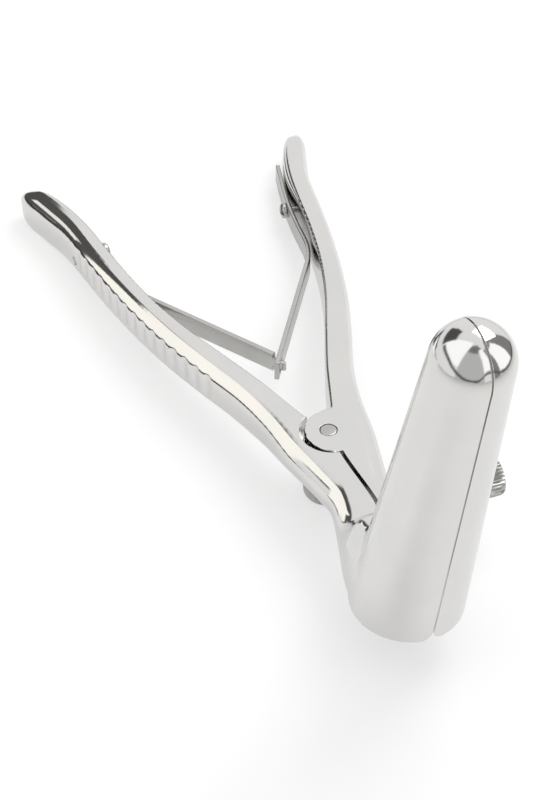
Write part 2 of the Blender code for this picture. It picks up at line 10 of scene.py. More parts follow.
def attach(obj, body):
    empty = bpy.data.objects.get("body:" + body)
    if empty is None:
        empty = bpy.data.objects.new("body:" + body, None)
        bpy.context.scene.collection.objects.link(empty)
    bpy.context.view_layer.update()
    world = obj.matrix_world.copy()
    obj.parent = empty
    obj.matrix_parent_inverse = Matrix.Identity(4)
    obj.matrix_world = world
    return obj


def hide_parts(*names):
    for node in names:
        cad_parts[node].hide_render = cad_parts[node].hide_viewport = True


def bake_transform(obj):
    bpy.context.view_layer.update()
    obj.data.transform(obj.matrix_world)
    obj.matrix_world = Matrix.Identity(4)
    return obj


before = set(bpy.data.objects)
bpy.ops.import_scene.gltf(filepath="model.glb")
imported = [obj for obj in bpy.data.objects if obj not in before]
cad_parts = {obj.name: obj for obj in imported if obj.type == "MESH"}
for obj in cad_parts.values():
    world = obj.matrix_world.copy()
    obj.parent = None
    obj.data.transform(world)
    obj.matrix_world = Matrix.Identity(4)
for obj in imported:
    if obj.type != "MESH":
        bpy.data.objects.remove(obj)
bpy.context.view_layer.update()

resting = {"tilt": math.radians(4.01422), "move": (0.0, 0.030638, 0.02196)}
place = Matrix.Translation(resting["move"]) @ Matrix.Rotation(resting["tilt"], 4, "X")
left, right = 1, -1


# small tools for meshes

def mix(first, second, amount):
    return first * (1 - amount) + second * amount


def ease(value, start, end):  # 0 before start, 1 after end
    t = min(max((value - start) / (end - start), 0.0), 1.0)
    return t * t * (3 - 2 * t)


def throughPoints(points, y):  # smooth curve through (y, x) points
    last = len(points) - 1
    i = 0
    while i < last - 1 and y > points[i + 1][0]:
        i += 1
    slopes = []
    for k in (i, i + 1):
        before, after = points[max(k - 1, 0)], points[min(k + 1, last)]
        slopes.append((after[1] - before[1]) / (after[0] - before[0]))
    (y0, x0), (y1, x1) = points[i], points[i + 1]
    t = (y - y0) / (y1 - y0)
    return ((2 * t**3 - 3 * t**2 + 1) * x0 + (t**3 - 2 * t**2 + t) * (y1 - y0) * slopes[0]
            + (3 * t**2 - 2 * t**3) * x1 + (t**3 - t**2) * (y1 - y0) * slopes[1])


def makeActive(piece):
    bpy.ops.object.select_all(action="DESELECT")
    piece.select_set(True)
    bpy.context.view_layer.objects.active = piece


def skinRings(name, rings):
    # a circle primitive is extruded once for each ring, and each ring is then put in its place
    count, lift = len(rings[0]), 0.001
    bpy.ops.object.select_all(action="DESELECT")
    bpy.ops.mesh.primitive_circle_add(vertices=count, radius=0.01, fill_type="NGON", location=(0, 0, 0))
    piece = bpy.context.active_object
    piece.name = name
    bpy.ops.object.mode_set(mode="EDIT")
    bpy.ops.mesh.select_mode(type="FACE")
    bpy.ops.mesh.select_all(action="SELECT")
    for _ in rings[1:]:
        bpy.ops.mesh.extrude_region_move(TRANSFORM_OT_translate={"value": (0, 0, lift)})
    bpy.ops.object.mode_set(mode="OBJECT")
    for vert in piece.data.vertices:
        ring = rings[round(vert.co.z / lift)]
        vert.co = ring[round(math.atan2(vert.co.y, vert.co.x) / (2 * math.pi) * count) % count]
    bpy.ops.object.mode_set(mode="EDIT")
    bpy.ops.mesh.select_all(action="SELECT")
    bpy.ops.mesh.normals_make_consistent(inside=False)
    bpy.ops.object.mode_set(mode="OBJECT")
    return piece


def circleRing(centre, radius, across, up, count):
    angles = [2 * math.pi * k / count for k in range(count)]
    return [centre + (across * math.cos(angle) + up * math.sin(angle)) * radius for angle in angles]


def turnedPiece(name, profile, count=64, turn=Matrix()):  # (radius, z) points turned about Z
    rings, across, up = [], Vector((1, 0, 0)), Vector((0, 1, 0))
    for radius, z in profile:
        ring = circleRing(Vector((0, 0, z)), max(radius, 0.00001), across, up, count)
        rings.append([turn @ point for point in ring])
    return skinRings(name, rings)


def cutterBox(name, low, high):
    bpy.ops.object.select_all(action="DESELECT")
    low, high = Vector(low), Vector(high)
    bpy.ops.mesh.primitive_cube_add(size=1, location=(low + high) / 2, scale=high - low)
    box = bpy.context.active_object
    box.name = name
    bpy.ops.object.transform_apply(location=True, rotation=True, scale=True)
    return box


def upright(name, radius, x, y, low, high, count=96):
    return turnedPiece(name, [(radius, low), (radius, high)], count, Matrix.Translation((x, y, 0)))


def applyAll(piece):
    makeActive(piece)
    for step in list(piece.modifiers):
        bpy.ops.object.modifier_apply(modifier=step.name)


def carve(piece, other, operation):
    step = piece.modifiers.new(operation.lower(), "BOOLEAN")
    step.operation = operation
    step.solver = "EXACT"
    step.object = other
    applyAll(piece)
    bpy.data.objects.remove(other, do_unlink=True)


def layDown(piece, sharpAngle=32):
    # onto the table, with its place in the mesh, and shaded smooth between its edges
    piece.data.transform(place)
    makeActive(piece)
    bpy.ops.object.shade_smooth_by_angle(angle=math.radians(sharpAngle))
    return piece


# small tools for materials

class Wire:  # one socket's value in a node tree, for use in expressions
    def __init__(self, tree, socket):
        self.tree, self.socket = tree, socket

    def other(self, output):  # another output of the same node
        return Wire(self.tree, self.socket.node.outputs[output])

    def math(self, operation, *others):
        node = self.tree.nodes.new("ShaderNodeMath")
        node.operation = operation
        for slot, value in zip(node.inputs, (self,) + others):
            feed(self.tree, slot, value)
        return Wire(self.tree, node.outputs[0])

    def __add__(self, other):
        return self.math("ADD", other)

    def __mul__(self, other):
        return self.math("MULTIPLY", other)

    def __sub__(self, other):
        return self.math("SUBTRACT", other)

    def __rsub__(self, other):
        return (self * -1) + other

    def __truediv__(self, other):
        return self.math("DIVIDE", other)

    __radd__, __rmul__ = __add__, __mul__


def feed(tree, slot, value):
    if isinstance(value, Wire):
        tree.links.new(value.socket, slot)
    elif value is not None:
        slot.default_value = value


class Nodes:  # a node tree with one call for any node
    def __init__(self, tree):
        self.tree = tree

    def add(self, kind, settings=None, sockets=None, output=0):
        node = self.tree.nodes.new(kind)
        for key, value in (settings or {}).items():
            setattr(node, key, value)
        for key, value in (sockets or {}).items():
            feed(self.tree, node.inputs[key], value)
        return Wire(self.tree, node.outputs[output])

    def ramp(self, value, low, high, outLow=0.0, outHigh=1.0):
        return self.add("ShaderNodeMapRange", {"interpolation_type": "SMOOTHSTEP"},
                        {0: value, 1: low, 2: high, 3: outLow, 4: outHigh})


def steel(name, look):
    material = bpy.data.materials.new(name)
    material.use_nodes = True
    nodes = Nodes(material.node_tree)
    shader = material.node_tree.nodes["Principled BSDF"]
    where = nodes.add("ShaderNodeTexCoord", output=3)  # Object coordinates
    grainWhere = nodes.add("ShaderNodeMapping", {}, {0: where, 3: look["grainScale"]})
    grain = nodes.add("ShaderNodeTexNoise", {},
                      {0: grainWhere, "Scale": 1.0, "Detail": 4.0, "Roughness": 0.6})
    cloud = nodes.add("ShaderNodeTexNoise", {}, {0: where, "Scale": look["cloudScale"], "Detail": 3.0})
    shade = nodes.ramp(cloud, 0.3, 0.7)
    tint = nodes.add("ShaderNodeMix", {"data_type": "RGBA"},
                     {0: shade, 6: (*look["colour"], 1), 7: (*look["colourWorn"], 1)}, output=2)
    feed(nodes.tree, shader.inputs["Base Color"], tint)
    shader.inputs["Metallic"].default_value = 1.0
    feed(nodes.tree, shader.inputs["Roughness"],
         look["roughness"] + (grain - 0.5) * look["grainRoughness"] + (shade - 0.5) * look["cloudRoughness"])
    edge = nodes.add("ShaderNodeBevel", {"samples": 4}, {0: look["edgeRadius"]})
    bump = nodes.add("ShaderNodeBump", {}, {"Strength": look["bumpStrength"], "Distance": look["bumpDepth"],
                                            "Height": grain, "Normal": edge})
    feed(nodes.tree, shader.inputs["Normal"], bump)
    return material


# camera

camera = {
    "position": (0.13546, 0.31832, 0.31255),  # in the instrument's frame
    "right": (-0.9345, 0.3559, -0.0044),
    "down": (0.2373, 0.6139, -0.7528),
    "forward": (-0.2653, -0.7045, -0.6582),
    "focal": 1800 / 800,  # in image heights
    "sensor": 24.0,
}


def addCamera():
    data = bpy.data.cameras.new("photoView")
    data.sensor_fit = "VERTICAL"
    data.sensor_height = camera["sensor"]
    data.lens = camera["sensor"] * camera["focal"]
    data.clip_start, data.clip_end = 0.01, 20.0
    view = bpy.data.objects.new("photoView", data)
    bpy.context.scene.collection.objects.link(view)
    forward = Vector(camera["forward"]).normalized()
    across = Vector(camera["right"])
    across = (across - forward * across.dot(forward)).normalized()
    down = forward.cross(across)
    turn = Matrix((across, -down, -forward)).transposed().to_4x4()
    view.matrix_world = place @ Matrix.Translation(camera["position"]) @ turn
    bpy.context.scene.camera = view


addCamera()
print("camera placed")


# levers

lever = {
    "thickness": 0.0120,
    "innerEdge": [(-0.1330, 0.0388), (-0.1229, 0.0347), (-0.1133, 0.0324), (-0.0980, 0.0306),
                  (-0.0828, 0.0283), (-0.0678, 0.0251), (-0.0531, 0.0205), (-0.0387, 0.0148),
                  (-0.0243, 0.0092), (-0.0125, 0.0053), (-0.0080, 0.0038)],
    "outerEdge": [(-0.1330, 0.0463), (-0.1229, 0.0429), (-0.1133, 0.0400), (-0.0980, 0.0377),
                  (-0.0828, 0.0352), (-0.0678, 0.0320), (-0.0531, 0.0280), (-0.0387, 0.0230),
                  (-0.0243, 0.0176), (-0.0119, 0.0145), (0.0014, 0.0126), (0.0146, 0.0098),
                  (0.0214, 0.0086), (0.0307, 0.0101), (0.0418, 0.0126), (0.0480, 0.0134)],
    "handleEnd": -0.1388,
    "tipLength": 0.0110,
    "tipDeeper": 0.0010,
    "gripTop": (0.0036, 0.0050),
    "gripFoot": (0.0018, 0.0022),
    "armTop": (0.0052, 0.0050),
    "armFoot": (0.0068, 0.0068),
    "tipInside": (0.0020, 0.0032),
    "edgeBreak": 0.0005,
    "gap": 0.0011,
    "gapDrift": 0.0011,
    "driftStart": 0.0085,
    "driftEnd": 0.0290,
    "crotch": -0.0080,
    "overlap": 0.0022,
    "tipZone": (-0.1220, -0.0960),  # each zone is where one section turns into the next
    "armZone": (-0.0250, 0.0120),
    "bladeZone": (0.0220, 0.0420),
    "fillet": 0.0100,
    "filletStart": 0.0290,
    "bossRadius": 0.00825,
    "bossShift": (0.0019, 0.0005),
    "bossReach": 0.0066,
    "recessRadius": 0.0084,
    "recessShift": (0.0006, 0.0005),
    "lapGap": 0.00015,
    "boltHole": 0.0020,
    "boltSeat": 0.0024,
    "boltSeatDepth": 0.0019,
    "baseFrom": 0.0340,
    "baseTrim": 0.00003,
    "voxel": 0.00045,
    "softPasses": 2,
    "rootPasses": 90,
    "sharpAngle": 38,
}
flutes = {"count": 15, "pitch": 0.00494, "radius": 0.0032, "depth": 0.00045, "start": -0.1017}
blade = {
    "baseY": 0.0510,
    "baseRadius": 0.0142,
    "tipRadius": 0.0093,
    "length": 0.0945,
    "lean": math.radians(13.45),
    "wall": 0.0013,
    "seam": 0.0004,
    "corner": 0.0030,
    "skirt": 0.0080,  # how far the form runs on below its base, before it is cut flat
}
middleZ = -lever["thickness"] / 2


def innerX(y, side=0):
    if y > lever["crotch"]:
        reach = ease(y, lever["crotch"], lever["crotch"] + lever["bossRadius"] / 2)
        bladeBack = blade["baseY"] - blade["baseRadius"]
        drift = ease(y, lever["driftStart"], lever["driftEnd"]) * (1 - ease(y, lever["driftEnd"], bladeBack))
        return mix(lever["innerEdge"][-1][1], lever["gap"] / 2 - side * lever["gapDrift"] * drift, reach)
    return throughPoints(lever["innerEdge"], y)


def outerX(y):
    return throughPoints(lever["outerEdge"], y)


def quarter(x, z, reachX, reachZ, start, steps=8):
    points = []
    for k in range(steps + 1):
        angle = math.pi / 2 * (start + k / steps)
        points.append((x + reachX * math.cos(angle), z + reachZ * math.sin(angle)))
    return points


def pairMix(first, second, amount):
    return mix(first[0], second[0], amount), mix(first[1], second[1], amount)


def leverSection(y):
    # the arm's inner edge reaches past the middle here, and is cut to its line later
    x0 = innerX(y) - lever["overlap"] * ease(y, lever["crotch"] + 0.001, lever["crotch"] + 0.004)
    x1 = outerX(y)
    atTip = 1 - ease(y, *lever["tipZone"])
    bottom = -lever["thickness"] - lever["tipDeeper"] * atTip
    top = 0.0
    if y > lever["filletStart"]:
        run = min(y - lever["filletStart"], lever["fillet"] * 0.98)
        top = lever["fillet"] - math.sqrt(lever["fillet"]**2 - run**2)
    intoArm, intoBlade = ease(y, *lever["armZone"]), ease(y, *lever["bladeZone"])
    thin = (lever["edgeBreak"], lever["edgeBreak"])
    upper, upperZ = pairMix(lever["gripTop"], lever["armTop"], intoArm)
    upperZ += top
    lower, lowerZ = pairMix(pairMix(lever["gripFoot"], lever["armFoot"], intoArm), thin, intoBlade)
    inside, insideZ = pairMix(thin, lever["tipInside"], atTip)
    ring = quarter(x1 - upper, top - upperZ, upper, upperZ, 0, 12)
    ring += quarter(x0 + inside, top - insideZ, inside, insideZ, 1)
    ring += quarter(x0 + inside, bottom + insideZ, inside, insideZ, 2)
    ring += quarter(x1 - lower, bottom + lowerZ, lower, lowerZ, 3)
    return ring


def tipSection(y):
    start = lever["handleEnd"] + lever["tipLength"]
    size = math.sqrt(max(1 - ((start - y) / lever["tipLength"])**2, 0.0))
    startX, hereX = (innerX(start) + outerX(start)) / 2, (innerX(y) + outerX(y)) / 2
    midZ = middleZ - lever["tipDeeper"] / 2
    return [(hereX + (x - startX) * size, midZ + (z - midZ) * size) for x, z in leverSection(start)]


def leverBar(name, side):
    rings, tipSteps = [], 12
    start, end = lever["handleEnd"] + lever["tipLength"], blade["baseY"] - blade["wall"] * 2
    for k in range(1, tipSteps):
        y = lever["handleEnd"] + lever["tipLength"] * (1 - math.cos(math.pi / 2 * k / tipSteps))
        rings.append([Vector((side * x, y, z)) for x, z in tipSection(y)])
    steps = round((end - start) / 0.0015)
    for k in range(steps + 1):
        y = mix(start, end, k / steps)
        rings.append([Vector((side * x, y, z)) for x, z in leverSection(y)])
    return skinRings(name, rings)


def bladeForm(name, inset, count=160):
    base = Matrix.Translation((0, blade["baseY"], -lever["thickness"]))
    lean = base @ Matrix.Rotation(-blade["lean"], 4, "X")
    taper = (blade["baseRadius"] - blade["tipRadius"]) / blade["length"]
    domeSteps = 24
    profile = []
    for k in range(41):
        height = mix(-blade["skirt"], blade["length"], k / 40)
        profile.append((blade["baseRadius"] - inset - taper * height, height))
    domeRadius = blade["tipRadius"] - inset
    for k in range(1, domeSteps):
        angle = math.pi / 2 * k / domeSteps
        profile.append((domeRadius * math.cos(angle), blade["length"] + domeRadius * math.sin(angle)))
    return turnedPiece(name, profile, count, lean)


def middleCutter(name, side):
    # upright prism that trims a lever to its own side, along the slot and the blades' seam
    slotStart, seamStart, steps = lever["driftStart"], blade["baseY"] - blade["baseRadius"], 40
    line = [(slotStart, -0.030)]
    for k in range(steps + 1):
        y = mix(slotStart, seamStart, k / steps)
        line.append((y, innerX(y, side)))
    line += [(seamStart, blade["seam"] / 2), (0.140, blade["seam"] / 2), (0.140, -0.030)]
    while len(line) % 4:
        line.append((0.140 - 0.004 * (len(line) % 4), -0.030))
    return skinRings(name, [[Vector((side * x, y, z)) for y, x in line] for z in (-0.05, 0.12)])


def cornerCutter(name, side):  # rounds the blade's lower corner at the seam
    y0, y1 = blade["baseY"], blade["baseY"] + blade["baseRadius"] * 1.5
    edge, radius, bottom = blade["seam"] / 2, blade["corner"], -lever["thickness"]
    ring = [(edge - 0.0003, bottom - 0.0006), (edge + radius, bottom - 0.0006)]
    for k in range(9):
        angle = math.pi / 2 * k / 8
        ring.append((edge + radius - radius * math.sin(angle), bottom + radius - radius * math.cos(angle)))
    ring.append((edge - 0.0003, bottom + radius))
    return skinRings(name, [[Vector((side * x, y, z)) for x, z in ring] for y in (y0, y1)])


def fluteCutters(side):
    y, first = flutes["start"], None
    for k in range(flutes["count"]):
        slope = (outerX(y + 0.001) - outerX(y - 0.001)) / 0.002
        along = Vector((slope, 1.0)).normalized()
        out = flutes["radius"] - flutes["depth"]
        x, yy = outerX(y) + along.y * out, y - along.x * out
        rod = upright("flute", flutes["radius"], side * x, yy, -0.016, 0.004, 32)
        y += flutes["pitch"] * along.y
        if first:
            first.select_set(True)
            rod.select_set(True)
            bpy.context.view_layer.objects.active = first
            bpy.ops.object.join()
        else:
            first = rod
    return first


def soften(piece, mask, factor, repeat):  # relaxes the surface where mask gives a share above 0
    group = piece.vertex_groups.new(name="soft")
    for vert in piece.data.vertices:
        share = mask(vert.co)
        if share > 0:
            group.add([vert.index], share, "REPLACE")
    step = piece.modifiers.new("soften", "SMOOTH")
    step.factor, step.iterations, step.vertex_group = factor, repeat, group.name
    applyAll(piece)
    piece.vertex_groups.clear()


def aroundRoot(point):  # where the arm runs into the blade
    return (ease(point.y, 0.0265, 0.0310) * (1 - ease(point.y, 0.0480, 0.0560))
            * ease(point.z, -0.0085, -0.0045) * (1 - ease(point.z, 0.0160, 0.0240)))


def makeLever(side, tag, material):
    upper = side == right
    piece = leverBar("lever_" + tag + "_fine", side)
    carve(piece, bladeForm("blade", 0.0), "UNION")
    lapZ = middleZ + lever["lapGap"] if upper else middleZ - lever["lapGap"]
    bossZ = (lapZ, 0.0) if upper else (-lever["thickness"], lapZ)
    shiftX, shiftY = lever["bossShift"]
    boss = upright("boss", lever["bossRadius"], side * shiftX, shiftY, *bossZ)
    trimX = sorted((side * lever["bossReach"], side * 0.02))  # keeps it off the arm's rounded edge
    carve(boss, cutterBox("bossTrim", (trimX[0], -0.02, -0.02), (trimX[1], 0.02, 0.01)), "DIFFERENCE")
    carve(piece, boss, "UNION")
    carve(piece, fluteCutters(side), "DIFFERENCE")
    step = piece.modifiers.new("even", "REMESH")
    step.mode, step.voxel_size, step.use_smooth_shade = "VOXEL", lever["voxel"], True
    applyAll(piece)
    soften(piece, lambda point: 1.0, 0.5, lever["softPasses"])
    soften(piece, aroundRoot, 0.5, lever["rootPasses"])
    print("lever", tag, "surface made")
    carve(piece, middleCutter("middle", side), "DIFFERENCE")
    recessZ = (-0.03, lapZ) if upper else (lapZ, 0.02)
    awayX, awayY = lever["recessShift"]
    carve(piece, upright("recess", lever["recessRadius"], -side * awayX, awayY, *recessZ), "DIFFERENCE")
    baseTop = -lever["thickness"] + lever["baseTrim"]
    carve(piece, cutterBox("base", (-0.04, lever["baseFrom"], -0.03), (0.04, 0.09, baseTop)), "DIFFERENCE")
    carve(piece, bladeForm("inside", blade["wall"]), "DIFFERENCE")
    carve(piece, cornerCutter("corner", side), "DIFFERENCE")
    carve(piece, upright("boltHole", lever["boltHole"], 0, 0, -0.03, 0.02, 64), "DIFFERENCE")
    if upper:
        seat = upright("boltSeat", lever["boltSeat"], 0, 0, -lever["boltSeatDepth"], 0.02, 64)
        carve(piece, seat, "DIFFERENCE")
    piece.data.materials.clear()
    piece.data.materials.append(material)
    layDown(piece, lever["sharpAngle"])
    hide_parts("lever_" + tag)
    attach(piece, tag + "_lever")
    print("lever", tag, "done,", len(piece.data.polygons), "faces")
    return piece


polishedSteel = steel("polishedSteel", {
    "colour": (0.80, 0.79, 0.77), "colourWorn": (0.77, 0.765, 0.75), "roughness": 0.10,
    "grainScale": (900, 260, 900), "grainRoughness": 0.06, "cloudScale": 60, "cloudRoughness": 0.03,
    "bumpStrength": 0.12, "bumpDepth": 0.00003, "edgeRadius": 0.00022})
springSteel = steel("springSteel", {
    "colour": (0.57, 0.565, 0.55), "colourWorn": (0.52, 0.515, 0.50), "roughness": 0.22,
    "grainScale": (1200, 300, 1200), "grainRoughness": 0.14, "cloudScale": 90, "cloudRoughness": 0.04,
    "bumpStrength": 0.2, "bumpDepth": 0.00003, "edgeRadius": 0.00015})
# darker colour throughout: painted shade standing in for the dark ribs and creases of the knurled and
# slotted parts
screwSteel = steel("screwSteel", {
    "colour": (0.56, 0.555, 0.54), "colourWorn": (0.50, 0.495, 0.48), "roughness": 0.20,
    "grainScale": (1500, 1500, 600), "grainRoughness": 0.14, "cloudScale": 150, "cloudRoughness": 0.05,
    "bumpStrength": 0.2, "bumpDepth": 0.00002, "edgeRadius": 0.00012})

levers = {left: makeLever(left, "left", polishedSteel), right: makeLever(right, "right", polishedSteel)}


# leaf springs, each one bent strip

spring = {
    "thickness": 0.0013,
    "height": 0.0060,
    "edge": 0.00022,
    "rootZ": -0.0080,
    "meetZ": -0.0057,
    "flexY": -0.0800,
    "farEnd": -0.1260,
    "straightFrom": -0.1180,
    "bow": 0.0008,
    "rest": 0.0003,
    "meetY": -0.0358,
    "short": 0.0018,
    "overrun": 0.0034,
    "tongueHeight": 0.0026,
    "tongueLength": 0.0017,
    "windowBefore": 0.0016,
    "windowAfter": 0.0028,
    "windowPlay": 0.0003,
    "bend": 0.0050,  # reach of the bend to each side of the root
}


def strapPoint(y):
    near = max(y, spring["straightFrom"])
    along = (near - spring["straightFrom"]) / (spring["flexY"] - spring["straightFrom"])
    bow = spring["bow"] * math.sin(math.pi * min(along, 1.0))**2
    offset = spring["rest"] + spring["thickness"] / 2 + bow
    slope = (innerX(near + 0.001) - innerX(near - 0.001)) / 0.002
    x = innerX(near) - offset * math.sqrt(1 + slope * slope) + slope * (y - near)
    return Vector((x, y, spring["rootZ"]))


def stripRing(side, centre, along, height, thickness):
    across = Vector((along.y, -along.x, 0)).normalized()
    edge = min(spring["edge"], thickness * 0.3)
    points = []
    for k, (sx, sz) in enumerate(((1, 1), (-1, 1), (-1, -1), (1, -1))):
        for j in range(4):
            angle = math.pi / 2 * (k + j / 3)
            out = sx * (thickness / 2 - edge) + edge * math.cos(angle)
            lift = sz * (height / 2 - edge) + edge * math.sin(angle)
            spot = centre + across * out
            points.append(Vector((side * spot.x, spot.y, spot.z + lift)))
    return points


def springPath():
    # strap, then a rounded bend, then the straight leaf to where the two meet
    root = strapPoint(spring["flexY"])
    meet = Vector((0, spring["meetY"], spring["meetZ"]))
    leafWay = (meet - root).normalized()
    path = []
    steps = 36
    bendStart = spring["flexY"] - spring["bend"]
    for k in range(steps + 1):
        path.append(strapPoint(mix(spring["farEnd"], bendStart, k / steps)))
    before, after = path[-1], root + leafWay * spring["bend"]
    for k in range(1, 12):
        t = k / 12
        path.append(before * (1 - t)**2 + root * (2 * t * (1 - t)) + after * t * t)
    return path, root, meet, leafWay


def makeSpring(side, tag):
    path, root, meet, leafWay = springPath()
    length, thick = (meet - root).length, spring["thickness"]
    rings = []
    for k, point in enumerate(path):
        along = path[min(k + 1, len(path) - 1)] - path[max(k - 1, 0)]
        rings.append(stripRing(side, point, along, spring["height"], thick))
    end = length - spring["short"] if side == left else length + spring["overrun"]
    for k in range(13):
        along = mix(spring["bend"], end, k / 12)
        rings.append(stripRing(side, root + leafWay * along, leafWay, spring["height"], thick))
    if side == left:
        tongueEnd = length + spring["tongueLength"]
        for reach in (end + 0.00002, mix(end, tongueEnd, 0.5), tongueEnd):
            rings.append(stripRing(side, root + leafWay * reach, leafWay, spring["tongueHeight"], thick))
        for k in range(1, 8):
            angle = math.pi / 2 * k / 8
            reach = tongueEnd + thick / 2 * math.sin(angle)
            rings.append(stripRing(side, root + leafWay * reach, leafWay, spring["tongueHeight"],
                                   thick * math.cos(angle)))
    piece = skinRings("spring_" + tag + "_strip", rings)
    if side == right:
        half = spring["tongueHeight"] / 2 + spring["windowPlay"]
        across, up = Vector((leafWay.y, -leafWay.x, 0)) * 0.003, Vector((0, 0, half))
        ends = meet - leafWay * spring["windowBefore"], meet + leafWay * spring["windowAfter"]
        windowRings = []
        for centre in ends:
            corners = centre + across + up, centre - across + up, centre - across - up, centre + across - up
            windowRings.append([Vector((side * p.x, p.y, p.z)) for p in corners])
        window = skinRings("window", windowRings)
        carve(piece, window, "DIFFERENCE")
    piece.data.materials.append(springSteel)
    layDown(piece)
    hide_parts("spring_strap_" + tag, "spring_leaf_" + tag)
    flexStart, flexEnd = strapPoint(spring["flexY"] - spring["bend"]), root + leafWay * spring["bend"]
    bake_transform(piece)
    print("spring", tag, "done")


makeSpring(left, "left")
makeSpring(right, "right")


# bolt, nut, strap screws and spreader screw

bolt = {"headRadius": 0.0022, "headHeight": 0.0016, "radius": 0.0019, "length": 0.0195, "soft": 0.00025}
nut = {"radius": 0.0068, "footRadius": 0.0064, "height": 0.0093, "ridges": 40, "depth": 0.00055,
       "chamfer": 0.0006, "gap": 0.0003, "floor": 0.0018, "play": 0.0001}
strapScrew = {"y": -0.1060, "radius": 0.0011, "headRadius": 0.0024, "headHeight": 0.0016, "dome": 0.6,
              "slotWidth": 0.0005, "slotDepth": 0.0009, "endGap": 0.00022, "endDepth": 0.0012}
spreader = {"y": 0.0255, "radius": 0.0018, "setback": 0.0042, "knobRadius": 0.0052, "knobWidth": 0.0048,
            "knobInnerX": 0.0317, "clearance": 0.00008, "ridges": 34, "depth": 0.00052, "chamfer": 0.0006}


def ridgedRings(levels, ridges, depth, turn=Matrix()):
    # straight knurl: (radius, z, share of the ridge depth) for each ring
    rings, count = [], ridges * 6
    while count % 4:
        count += ridges * 6
    for radius, z, share in levels:
        ring = []
        for k in range(count):
            phase = (k * ridges / count) % 1.0
            out = radius - depth * share * (0.5 + 0.5 * math.cos(2 * math.pi * phase))**0.6
            angle = 2 * math.pi * k / count
            ring.append(turn @ Vector((out * math.cos(angle), out * math.sin(angle), z)))
        rings.append(ring)
    return rings


def finishSmall(piece, material, node, body, sharpAngle=32):
    piece.data.materials.append(material)
    layDown(piece, sharpAngle)
    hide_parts(node)
    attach(piece, body)


def boreLever(side, cutter):  # for a lever that is already laid down
    carve(levers[side], cutter, "DIFFERENCE")
    makeActive(levers[side])
    bpy.ops.object.shade_smooth_by_angle(angle=math.radians(lever["sharpAngle"]))


def makeBolt():
    profile = [(0.0, 0.0), (bolt["headRadius"] - bolt["soft"], 0.0)]
    for k in range(1, 6):
        angle = math.pi / 2 * k / 5
        radius = bolt["headRadius"] - bolt["soft"] * (1 - math.sin(angle))
        profile.append((radius, -bolt["soft"] * (1 - math.cos(angle))))
    profile += [(bolt["headRadius"], -bolt["headHeight"]), (bolt["radius"], -bolt["headHeight"]),
                (bolt["radius"], -bolt["length"]), (0.0, -bolt["length"])]
    finishSmall(turnedPiece("bolt_fine", profile), screwSteel, "pivot_bolt", "left_lever")


def makeNut():
    r0, r1, h, c = nut["radius"], nut["footRadius"], nut["height"], nut["chamfer"]
    boreRadius = bolt["radius"] + nut["play"]
    levels = [(boreRadius, 0.0, 0), (r0 - c, 0.0, 0), (r0 - c * 0.4, -c * 0.15, 0.3), (r0, -c, 1)]
    levels += [(mix(r0, r1, k / 6), mix(-c, -h + c, k / 6), 1) for k in range(1, 6)]
    levels += [(r1, -h + c, 1), (r1 - c * 0.4, -h + c * 0.15, 0.3), (r1 - c, -h, 0), (r1 * 0.3, -h, 0)]
    turn = Matrix.Translation((0, 0, -lever["thickness"] - nut["gap"]))
    piece = skinRings("nut_fine", ridgedRings(levels, nut["ridges"], nut["depth"], turn))
    bore = turnedPiece("bore", [(boreRadius, 0.01), (boreRadius, nut["floor"] - nut["height"])], 64, turn)
    carve(piece, bore, "DIFFERENCE")
    finishSmall(piece, screwSteel, "pivot_nut", "nut", 40)


def makeStrapScrew(side, tag):
    centre = strapPoint(strapScrew["y"])
    along = (strapPoint(strapScrew["y"] + 0.001) - strapPoint(strapScrew["y"] - 0.001)).normalized()
    outward = Vector((side * along.y, -along.x, 0))
    centre = Vector((side * centre.x, centre.y, centre.z))
    face = spring["thickness"] / 2 + spring["rest"]
    top, rise = face + strapScrew["headHeight"], strapScrew["headHeight"] * strapScrew["dome"]
    reach = (outerX(strapScrew["y"]) - strapPoint(strapScrew["y"]).x) * abs(outward.x)
    radius, headRadius, profile = strapScrew["radius"], strapScrew["headRadius"], []
    for k in range(11):
        angle = math.pi / 2 * k / 10
        profile.append((headRadius * math.sin(angle), top - rise * (1 - math.cos(angle))))
    profile += [(headRadius, face), (radius, face), (radius, -reach)]
    piece = turnedPiece("strap_screw_" + tag + "_fine", profile, 48)
    wide, half, slotFloor = headRadius * 2, strapScrew["slotWidth"] / 2, top - strapScrew["slotDepth"]
    carve(piece, cutterBox("slot", (-wide, -half, slotFloor), (wide, half, top + wide)), "DIFFERENCE")
    turn = Matrix.Translation(centre) @ (-outward).to_track_quat("Z", "Y").to_matrix().to_4x4()
    piece.data.transform(turn)
    # the screw's end shows as a fine ring in the handle's outer side
    ringRadius = radius + strapScrew["endGap"]
    ends = [(ringRadius, -reach - 0.003), (ringRadius, -reach + strapScrew["endDepth"])]
    boreLever(side, turnedPiece("endRing", ends, 48, place @ turn))
    finishSmall(piece, screwSteel, "spring_screw_" + tag, tag + "_lever")


